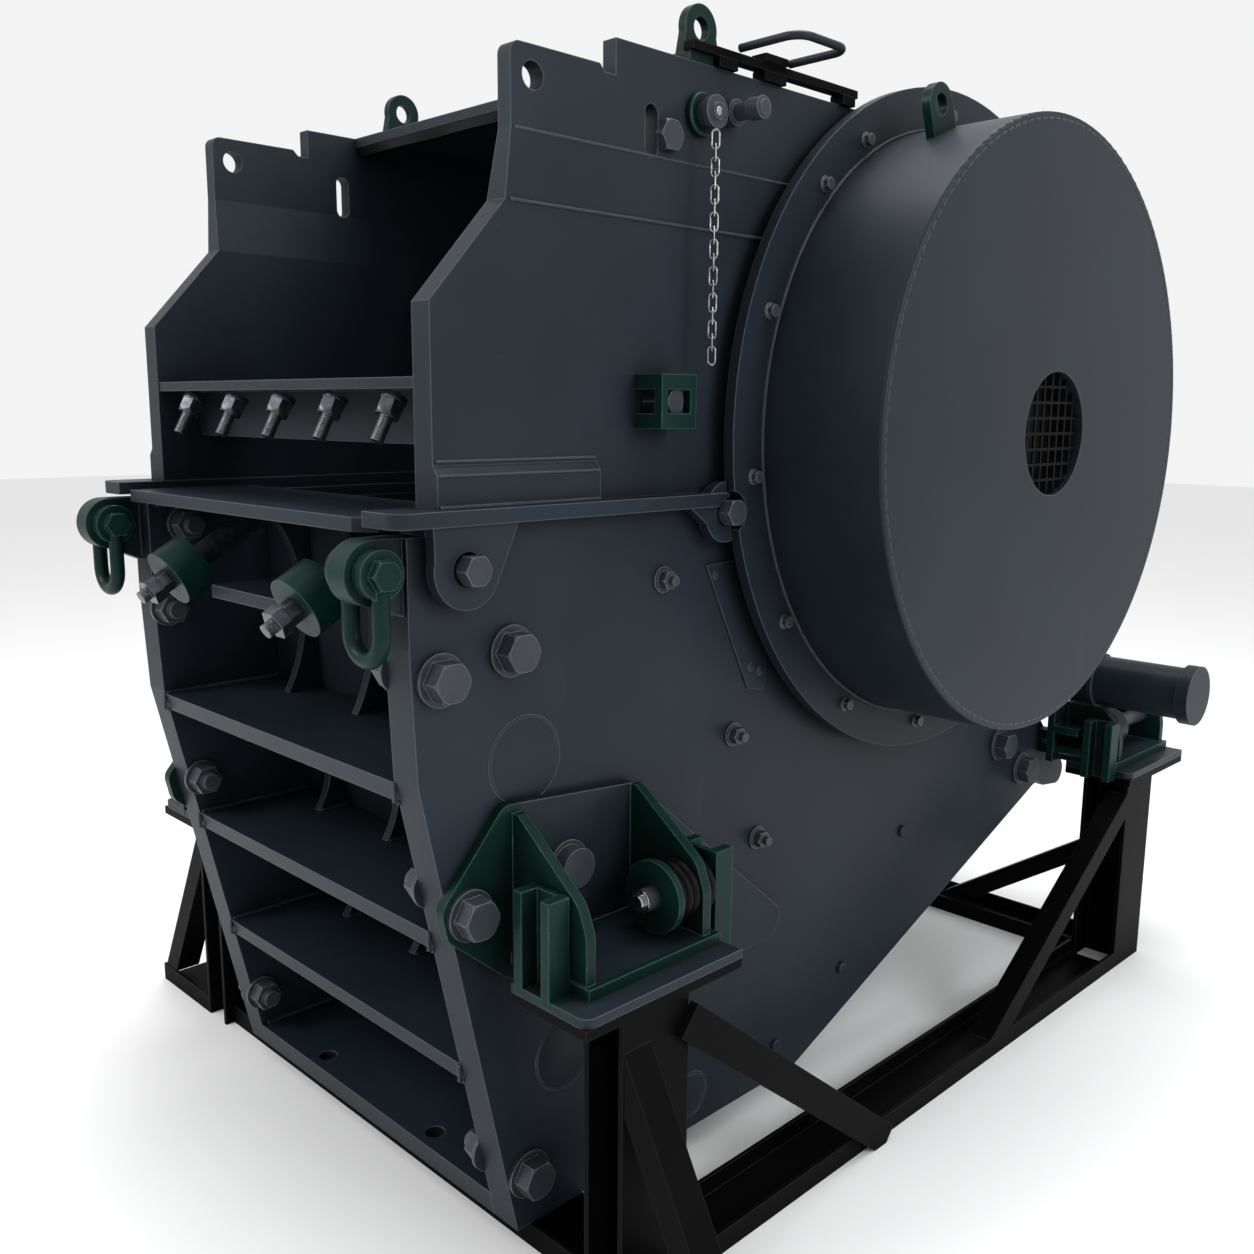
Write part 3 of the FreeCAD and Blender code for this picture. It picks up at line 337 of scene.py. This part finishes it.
blackLook = {**slateLook,
             "dark": (0.0016, 0.0016, 0.0018, 1), "light": (0.0028, 0.0028, 0.0031, 1),
             "faded": (0.005, 0.005, 0.0054, 1), "cornerHighlightColor": (0.030, 0.030, 0.032, 1),
             "wearColor": (0.10, 0.10, 0.105, 1), "paintedShade": (0.0016, 0.0015, 0.0014, 1), "paintedShadeAmount": 0.5,
             "wear": 0.15, "roughness": 0.46, "specular": 0.03, "coat": 0.0, "coatRoughness": 0.2,
             "speckColor": (0.012, 0.012, 0.0125, 1), "streaks": 0.4}
boltLook = {**slateLook,
            "dark": (0.022, 0.027, 0.033, 1), "light": (0.034, 0.040, 0.047, 1), "faded": (0.05, 0.056, 0.063, 1),
            "cornerHighlightColor": (0.24, 0.26, 0.285, 1), "wearColor": (0.34, 0.355, 0.37, 1), "rounding": 0.003,
            "patchScale": 6.0, "paintedShadeReach": 0.05, "roughness": 0.36, "specular": 0.22, "coat": 0.1}


def bareSteel(name, look):
    s = Shader(name)
    rounded, corner = s.corners(look["rounding"])
    grain = s.noise(60.0, 4.0)
    brushed = s.noise(30.0, 3.0, 0.6, (1.0, 8.0, 8.0))
    # painted shade: tight crevices darken towards the shade colour, and the steel is made less metallic there
    paintedShade = s.crevices(0.03).between(0.35, 0.9)
    base = grain.between(0.35, 0.65).blend(look["dark"], look["light"])
    base = (paintedShade * look["paintedShadeAmount"]).blend(base, look["paintedShade"])
    # painted highlight: edges are lightened towards the corner colour
    base = (corner * 0.6).blend(base, look["corner"])
    rough = look["roughness"] + 0.18 * (brushed - 0.5) + 0.25 * paintedShade
    metal = look["metallic"] - 0.3 * paintedShade
    return s.finish(base, rough, metal, 0.6 * brushed + 0.4 * grain, look["bump"], rounded,
                    {"Specular IOR Level": look["specular"]})


# in the bare steels, the corner colour is a painted highlight along edges and the darkest colour is painted shade
# for crevices
steelLook = {"dark": (0.045, 0.051, 0.059, 1), "light": (0.080, 0.088, 0.098, 1), "corner": (0.34, 0.36, 0.38, 1),
             "paintedShade": (0.006, 0.006, 0.007, 1), "paintedShadeAmount": 0.85, "roughness": 0.30, "metallic": 0.85,
             "specular": 0.3, "rounding": 0.003, "bump": 0.12}
chromeLook = {**steelLook, "dark": (0.26, 0.27, 0.285, 1), "light": (0.36, 0.37, 0.385, 1),
              "corner": (0.75, 0.76, 0.78, 1), "roughness": 0.2, "metallic": 1.0}
chainLook = {**chromeLook, "dark": (0.20, 0.20, 0.205, 1), "light": (0.42, 0.42, 0.42, 1), "roughness": 0.22,
             "rounding": 0.001}
jawLook = {**steelLook, "dark": (0.016, 0.016, 0.017, 1), "light": (0.030, 0.030, 0.031, 1), "roughness": 0.5,
           "metallic": 0.6, "bump": 0.5, "corner": (0.10, 0.10, 0.105, 1)}


def softRubber(name, look):
    s = Shader(name)
    dust = s.noise(8.0, 5.0).between(0.5, 0.8)
    grain = s.noise(160.0, 2.0)
    base = (dust * look["dustAmount"]).blend(look["color"], look["dust"])
    return s.finish(base, look["roughness"] + 0.15 * dust, 0.0, grain, 0.2, None, {"Specular IOR Level": 0.07})


rubberLook = {"color": (0.0022, 0.0022, 0.0024, 1), "dust": (0.004, 0.004, 0.0041, 1), "dustAmount": 0.3,
              "roughness": 0.42}

slate = paintedSteel("slate paint", slateLook)
green = paintedSteel("green paint", greenLook)
black = paintedSteel("black paint", blackLook)
steel = bareSteel("bare steel", steelLook)
boltSteel = paintedSteel("bolt paint", boltLook)
chrome = bareSteel("bright pin steel", chromeLook)
chainSteel = bareSteel("bright chain", chainLook)
jawIron = bareSteel("jaw iron", jawLook)
rubber = softRubber("buffer rubber", rubberLook)
print("stage: materials made")


def band(value, low, high, soft=0.3):
    # one while the value is between low and high
    return value.between(low - soft, low + soft) * (1.0 - value.between(high - soft, high + soft))


def noseMask(s):
    # green on the round noses, within their radius of the shackle pins
    x, y, z = s.axes()
    masks = []
    for side, pinY, pinZ in ((1, -311.0, 1490.0), (-1, -320.0, 1500.0)):
        away = ((y - pinY) ** 2.0 + (z - pinZ) ** 2.0) ** 0.5
        masks.append((1.0 - away.between(62.3, 62.9)) * (side * x).between(0.0, 1.0))
    return masks[0] + masks[1]


def frontBracketMask(s):
    # slate on the tray's floor and on the back plate behind the first gusset
    x, y, z = s.axes()
    across = x.math("ABSOLUTE", x)
    tray = band(z, 675.4, 676.6) * (1.0 - across.between(848.0, 849.0)) * band(y, -2.0, 334.0, 1.0)
    plate = (1.0 - across.between(625.4, 626.2)) * y.between(-1.0, 1.0)
    return tray.most(plate)


def rearBracketMask(s):
    x, y, z = s.axes()
    across = x.math("ABSOLUTE", x)
    return band(z, 643.4, 644.6) * (1.0 - across.between(848.0, 849.0)) * band(y, 2372.0, 2756.0, 1.0)


def seatMask(s):
    # green on the plates' front edges and round the foot of the front channel
    x, y, z = s.axes()
    across = x.math("ABSOLUTE", x)
    front = (1.0 - y.between(-83.7, -83.4)).most(band(y, 2340.0, 2352.3))
    foot = (1.0 - y.between(-36.0, -32.0)) * (1.0 - across.between(828.0, 834.0))
    return front.most(foot)


twoTone = {"side_plate_left": paintedSteel("slate with green noses", slateLook, greenLook, noseMask)}
twoTone["side_plate_right"] = twoTone["side_plate_left"]
twoTone["front_bracket_left"] = paintedSteel("front bracket paint", greenLook, slateLook, frontBracketMask)
twoTone["front_bracket_right"] = twoTone["front_bracket_left"]
twoTone["rear_brackets"] = paintedSteel("rear bracket paint", greenLook, slateLook, rearBracketMask)
twoTone["seat_plates"] = paintedSteel("seat plate paint", slateLook, greenLook, seatMask)

slotMaterials = {"slate_paint": slate, "green_paint": green, "black_paint": black, "bare_steel": steel,
                 "jaw_steel": jawIron, "bright_chain": chainSteel, "black_rubber": rubber}
nodeSlots = {row["node"]: row["material_slot"] for row in frame["record"]["subparts"]}
ownFinish = {"frame_bolts": boltSteel, "guard_grilles": black, **twoTone}
for node, piece in frame["nodes"].items():
    material = ownFinish.get(node, slotMaterials[nodeSlots[node]])
    piece.data.materials.clear()
    piece.data.materials.append(material)
print("stage: frame painted")

# bolts of the drive guards' ring flanges
ringBolts = {"axisY": 1472.0, "axisZ": 1733.0, "radius": 812.0, "seat": 668.0, "flats": 26.0, "height": 15.0,
             "angles": (120.5, 134.6, 160.0, 186.8, 213.7, 240.0, 266.0, 293.0, 320.0, 347.0, 14.0, 40.0,
                        66.0, 93.0)}


def ringBoltParts(look):
    parts = []
    for angle in np.radians(look["angles"]):
        y = look["axisY"] + look["radius"] * np.cos(angle)
        z = look["axisZ"] + look["radius"] * np.sin(angle)
        parts.append(turned([(0, 19), (3, 19), (4, 17)], (look["seat"], y, z), (1, 0, 0), 16))
        parts.append(hexHead(look["flats"], look["height"], (look["seat"] + 4, y, z), (1, 0, 0), 24))
    return parts


makePiece("guardRingBolts", mirroredToo(ringBoltParts(ringBolts)), boltSteel)

# stitched weld round the drum's outer rim, and the seam where drum and ring meet
rimSeam = {"face": 990.0, "radius": 758.0, "dash": 24.0, "gap": 9.0, "bead": 3.2, "ringFace": 669.0,
           "ringSeam": 777.0, "ringBead": 5.0}


def circlePath(x, radius, start, stop, steps, look=ringBolts):
    angle = np.linspace(start, stop, steps)
    return np.stack([np.full(steps, x), look["axisY"] + radius * np.cos(angle),
                     look["axisZ"] + radius * np.sin(angle)], -1)


def rimSeamParts(look):
    parts = []
    pitch = (look["dash"] + look["gap"]) / look["radius"]
    count = int(2 * np.pi / pitch)
    for k in range(count):
        start = 2 * np.pi * k / count
        path = circlePath(look["face"], look["radius"], start, start + look["dash"] / look["radius"], 6)
        parts.append(tubeAlong(path, look["bead"] * np.array([0.4, 0.9, 1, 1, 0.9, 0.4]), 6, 0.5, (1, 0, 0)))
    return parts


makePiece("guardRimSeam", mirroredToo(rimSeamParts(rimSeam)), slate)
ringSeamPath = circlePath(rimSeam["ringFace"], rimSeam["ringSeam"], 0, 2 * np.pi, 1400)
makePiece("guardRingSeam", mirroredToo([weldBead(ringSeamPath, rimSeam["ringBead"], 3, (1, 0, 0))]), slate)

# black mesh backing behind the round grilles
grilleBack = {"y": 1490.0, "z": 1733.0, "x": 922.0, "radius": 156.0, "thickness": 3.0}
backParts = [turned([(0, grilleBack["radius"]), (grilleBack["thickness"], grilleBack["radius"])],
                    (grilleBack["x"], grilleBack["y"], grilleBack["z"]), (1, 0, 0), 64)]
makePiece("grilleBacking", mirroredToo(backParts), rubber)

# welds on the side plates and the front structure
ribTops = (402.0, 726.0, 1062.0)
inner, kinkHeight, kinkLean, topLean, frameTop = 518.0, 1070.0, -235.0, -258.0, 1572.0


def frontEdge(z):
    # the front edge leans back from the base to the kink, and less from there to the top
    z = np.asarray(z, float)
    return np.where(z < kinkHeight, kinkLean * z / kinkHeight,
                    kinkLean + (topLean - kinkLean) * (z - kinkHeight) / (frameTop - kinkHeight))


def frontWeldParts(look):
    parts = []
    for k, top in enumerate(ribTops):
        for side in (-1, 1):
            x = side * (inner - 1)
            y0 = float(frontEdge(top))
            for z, dz in ((top, 1), (top - look["rib"], -1)):
                path = weldPath((x, y0 + 4, z + dz), (x, y0 + 320, z + dz))
                parts.append(weldBead(path, look["bead"], 10 * k + side + 2 + dz))
            path = weldPath((x, y0 - 1, top - look["rib"]), (x, y0 - 1, top))
            parts.append(weldBead(path, look["bead"] * 0.8, 40 + k, (1, 0, 0)))
    for side in (-1, 1):
        path = weldPath((side * (inner - 1), 3, 61), (side * (inner - 1), 320, 61))
        parts.append(weldBead(path, look["bead"], 60 + side))
        parts.append(weldBead(weldPath((side * (inner - 1), float(frontEdge(1383)) + 20, frameTop - 27),
                                       (side * (inner - 1), 25, frameTop - 27)), look["bead"], 70 + side))
    for x in look["webs"]:
        for k, (low, high) in enumerate(zip((60.0,) + ribTops, tuple(t - look["rib"] for t in ribTops))):
            for side in (-13, 13):
                for z in (low + 1, high - 1):
                    y = float(frontEdge(z)) + 240
                    parts.append(weldBead(weldPath((x + side, y, z), (x + side, y + 84, z)), 4.5, 90 + k))
    return parts


makePiece("frontWelds", frontWeldParts({"rib": 42.0, "bead": 6.0, "webs": (-320.0, 0.0, 320.0)}), slate)

# bead along the hopper's lower bend, seams of the doubler at its foot
hopperSeams = {"low": 605.0, "high": 612.0, "bendLow": 2178.0, "bendHigh": 2307.0, "bead": 4.0,
               "rear": 1140.0, "doublerFront": -186, "doublerRear": 224, "doublerFace": 1664, "doublerTop": 1690,
               "doublerFoot": 1604}


def hopperSeamParts(look):
    lower = weldPath((look["low"] + 1, 0, look["bendLow"]), (look["low"] + 1, look["rear"], look["bendLow"]))
    upper = weldPath((look["high"] - 1, 8, look["bendHigh"]), (look["high"] - 1, look["rear"], look["bendHigh"]))
    front, rear = look["doublerFront"], look["doublerRear"]
    foot = weldPath((look["low"] + 15, front, look["doublerFace"]), (look["low"] + 15, rear, look["doublerFace"]))
    top = weldPath((look["low"] + 1, front + 4, look["doublerTop"]), (look["low"] + 1, rear - 2, look["doublerTop"]))
    base = weldPath((look["low"] + 16, front, look["doublerFoot"]), (look["low"] + 16, rear, look["doublerFoot"]))
    return [weldBead(lower, look["bead"], 5), tubeAlong(upper[::6], 3.5, 8), weldBead(foot, 3.2, 7),
            weldBead(top, 3.6, 8), weldBead(base, 5.0, 9)]


makePiece("hopperSeams", mirroredToo(hopperSeamParts(hopperSeams)), slate)

# plugged ports, blind buttons and the riveted plate on the side plates
sideDetails = {"face": 600.0, "outlines": ((31.0, 1073.0, 95.0), (138.0, 374.0, 84.0), (561.0, 91.0, 60.0)),
               "buttons": ((1193.0, 222.0), (898.0, 98.0), (1480.0, 560.0), (1900.0, 1180.0)),
               "platePoints": ((580, 1432), (794, 1440), (812, 1120), (796, 1100), (742, 1112)),
               "rivets": ((615, 1405), (770, 1412), (752, 1165), (788, 1150))}


def ringOn(face, y, z, radius, bead):
    angle = np.linspace(0, 2 * np.pi, 97)
    path = np.stack([np.full(97, face), y + radius * np.cos(angle), z + radius * np.sin(angle)], -1)
    return tubeAlong(path, bead, 8, 0.6, (1, 0, 0))


def sideDetailParts(look):
    parts = []
    for y, z, radius in look["outlines"]:
        parts.append(ringOn(look["face"] + 0.3, y, z, radius, 2.0))
        step = [(-2, radius - 4), (1.5, radius - 4), (2.5, radius - 7)]
        parts.append(turned(step, (look["face"], y, z), (1, 0, 0), 72))
    for y, z in look["buttons"]:
        parts.append(turned([(0, 17), (7, 17), (11, 14), (12, 9)], (look["face"], y, z), (1, 0, 0), 24))
    outline = np.array([(look["face"], y, z) for y, z in look["platePoints"]], float)
    parts.append(loftedPlate(outline[::-1], 5.0, 0, look["face"]))
    for y, z in look["rivets"]:
        parts.append(turned([(0, 11), (3, 11), (6, 8), (7, 4)], (look["face"] + 5, y, z), (1, 0, 0), 20))
    return parts


makePiece("sidePlateDetails", mirroredToo(sideDetailParts(sideDetails)), slate)

# threads of the lip's clamp studs and of the wedge rods
lipStuds = {"x": (-430.0, -215.0, 0.0, 215.0, 430.0), "y": -142.0, "z": 1822.0, "tilt": 28.0, "radius": 14.0,
            "threadFrom": 57, "threadLength": 54.0, "pitch": 5.5, "nutFrom": 23.5, "nutFlats": 47, "nutHeight": 35}
wedgeRods = {"x": (-291.0, 291.0), "y": -306.0, "z": 1389.0, "tilt": 60.0, "radius": 16.0,
             "end": 77, "threadLength": 19.0, "pitch": 5.0}


def studParts(look):
    tilt = np.radians(look["tilt"])
    down = np.array([0.0, -np.sin(tilt), -np.cos(tilt)])
    parts = []
    for x in look["x"]:
        seat = np.array([x, look["y"], look["z"]])
        parts.append(threadedRod(look["radius"], seat + look["threadFrom"] * down, down, look["threadLength"],
                                 look["pitch"]))
        parts.append(hexHead(look["nutFlats"], look["nutHeight"], seat + look["nutFrom"] * down, down, 24))
    return parts


def rodParts(look):
    tilt = np.radians(look["tilt"])
    up = np.array([0.0, np.sin(tilt), np.cos(tilt)])
    parts = []
    for x in look["x"]:
        seat = np.array([x, look["y"], look["z"]])
        parts.append(threadedRod(look["radius"], seat - look["end"] * up, up, look["threadLength"],
                                 look["pitch"]))
    return parts


# green rings and bright end of the locking pin on the right side, bright ends of the buffer pins
lockPin = {"y": 522.0, "z": 2410.0, "face": 612.0,
           "outer": [(1, 40), (1, 44.5), (6, 45.5), (14, 45.5), (17, 43), (17, 27)],
           "inner": [(30, 24), (30, 28), (34, 29), (37, 28), (38.5, 25), (38.5, 18)],
           "cap": [(55, 7), (57, 10), (58.5, 9), (59.5, 4)]}
bufferPins = {"x": 776.0, "y": 186.0, "z": 767.0,
              "profile": [(14, 26.2), (10, 26), (10.5, 18), (2, 17.8), (-1.5, 17.5), (-3, 15), (-4, 6)]}


def lockRingParts(look):
    centre = (look["face"], look["y"], look["z"])
    return [turned(look["outer"], centre, (1, 0, 0), 64), turned(look["inner"], centre, (1, 0, 0), 48)]


def lockEndParts(look):
    return [turned(look["cap"], (look["face"], look["y"], look["z"]), (1, 0, 0), 32)]


def bufferEndParts(look):
    return [turned(look["profile"], (look["x"], look["y"], look["z"]), (0, 1, 0), 40)]


makePiece("lockPinRings", lockRingParts(lockPin), green)
makePiece("lockPinEnd", lockEndParts(lockPin), chrome)
makePiece("bufferPinEnds", mirroredToo(bufferEndParts(bufferPins)), chrome)
makePiece("lipStudThreads", studParts(lipStuds), steel)
makePiece("wedgeRodThreads", rodParts(wedgeRods), steel)
print("stage: fittings made")

# corrugated wear faces of the jaw dies: the tooth profile is a triangle wave across the jaw
teeth = {"halfWidth": 452.0, "pitch": 75.0, "depth": 24.0}


def toothedFace(look, low, high, outward):
    count = int(2 * look["halfWidth"] / look["pitch"]) * 4 + 1
    x = np.linspace(-look["halfWidth"], look["halfWidth"], count)
    wave = look["depth"] * (1 - np.abs(2 * ((x / look["pitch"]) % 1.0) - 1))
    face = np.linspace(0, 1, 9)[:, None, None] * (np.array(high) - low) + np.array(low)
    front = face + outward * wave[None, :, None] * np.array([0, 1.0, 0])
    front[..., 0] = x
    back = face + np.zeros((1, count, 1)) - outward * np.array([0, 4.0, 0])
    back[..., 0] = x
    loop = np.concatenate([front, back[:, ::-1]], axis=1)
    return closedTube(loop if outward < 0 else loop[:, ::-1])


jawParts = [toothedFace(teeth, (0, 662, 90), (0, 984, 1555), -1.0),
            toothedFace(teeth, (0, 462, 90), (0, 222, 1070), 1.0)]
makePiece("jawTeeth", jawParts, jawIron)

# black rubber curtain under the hopper cover's front edge
curtain = {"halfWidth": 560.0, "y": 421.0, "top": 2491.0, "drop": 24.0, "thickness": 10.0}


def curtainParts(look):
    x = np.linspace(-look["halfWidth"], look["halfWidth"], 60)
    wave = 2.5 * np.sin(x / 47.0)
    rows = []
    for z, offset in ((look["top"], 0), (look["top"] - look["drop"], 0),
                      (look["top"] - look["drop"], look["thickness"]), (look["top"], look["thickness"])):
        rows.append(np.stack([x, look["y"] + offset + wave * (z < look["top"]), np.full(60, z)], -1))
    return [closedTube(np.stack(rows, 1)[:, ::-1])]


makePiece("coverCurtain", curtainParts(curtain), rubber)
print("stage: jaws and curtain made")

# studio
floorMesh = bpy.data.meshes.new("floor")
floorMesh.from_pydata([(-30, -30, 0), (30, -30, 0), (30, 30, 0), (-30, 30, 0)], [], [(0, 1, 2, 3)])
floor = bpy.data.objects.new("floor", floorMesh)
bpy.context.scene.collection.objects.link(floor)
floorShader = Shader("pale floor")
floorShader.finish((0.86, 0.86, 0.86, 1), 0.7, 0.0, 0.0, 0.0)
floorMesh.materials.append(floorShader.material)

world = bpy.data.worlds.new("studio")
bpy.context.scene.world = world
world.use_nodes = True
world.node_tree.nodes["Background"].inputs["Color"].default_value = (1, 1, 1, 1)
world.node_tree.nodes["Background"].inputs["Strength"].default_value = 0.9


def areaLight(name, place, target, size, power, tint=(1, 1, 1)):
    data = bpy.data.lights.new(name, "AREA")
    data.shape, data.size, data.energy, data.color = "SQUARE", size, power, tint
    light = bpy.data.objects.new(name, data)
    direction = np.array(target, float) - np.array(place, float)
    direction /= np.linalg.norm(direction)
    side = np.cross(direction, [0, 0, 1])
    side /= np.linalg.norm(side)
    up = np.cross(side, direction)
    turn = Matrix(np.stack([side, up, -direction], -1).tolist()).to_4x4()
    light.matrix_world = Matrix.Translation(place) @ turn
    bpy.context.scene.collection.objects.link(light)
    return light


areaLight("key", (-2.5, -6.5, 5.5), (0, -0.4, 1.2), 3.5, 290)
areaLight("side", (7.5, 0.5, 4.5), (0.6, 0.2, 1.2), 3.0, 205, (0.94, 0.97, 1.0))
areaLight("overhead", (0.5, 0.5, 7.0), (0.2, 0.1, 1.5), 4.0, 300)

# the view across the feed end's right corner
viewpoint = {"place": (2.460317, -2.717499, 1.850032), "yaw": 0.789713473, "pitch": 0.178914986,
             "roll": 0.00712462, "lens": 34.708}


def cameraTurn(look):
    # forward from the heading and the downward tilt, then the small roll about it
    heading, tilt, roll = look["yaw"], look["pitch"], look["roll"]
    forward = np.array([-np.sin(heading) * np.cos(tilt), np.cos(heading) * np.cos(tilt), -np.sin(tilt)])
    right = np.array([np.cos(heading), np.sin(heading), 0.0])
    up = np.cross(right, forward)
    return np.stack([np.cos(roll) * right + np.sin(roll) * up,
                     -np.sin(roll) * right + np.cos(roll) * up, -forward], -1)


cameraData = bpy.data.cameras.new("view")
cameraData.lens, cameraData.sensor_width = viewpoint["lens"], 36.0
camera = bpy.data.objects.new("view", cameraData)
camera.matrix_world = Matrix.Translation(viewpoint["place"]) @ Matrix(cameraTurn(viewpoint).tolist()).to_4x4()
bpy.context.scene.collection.objects.link(camera)
bpy.context.scene.camera = camera
bpy.context.scene.view_settings.view_transform = "Standard"
print("stage: studio and view set")
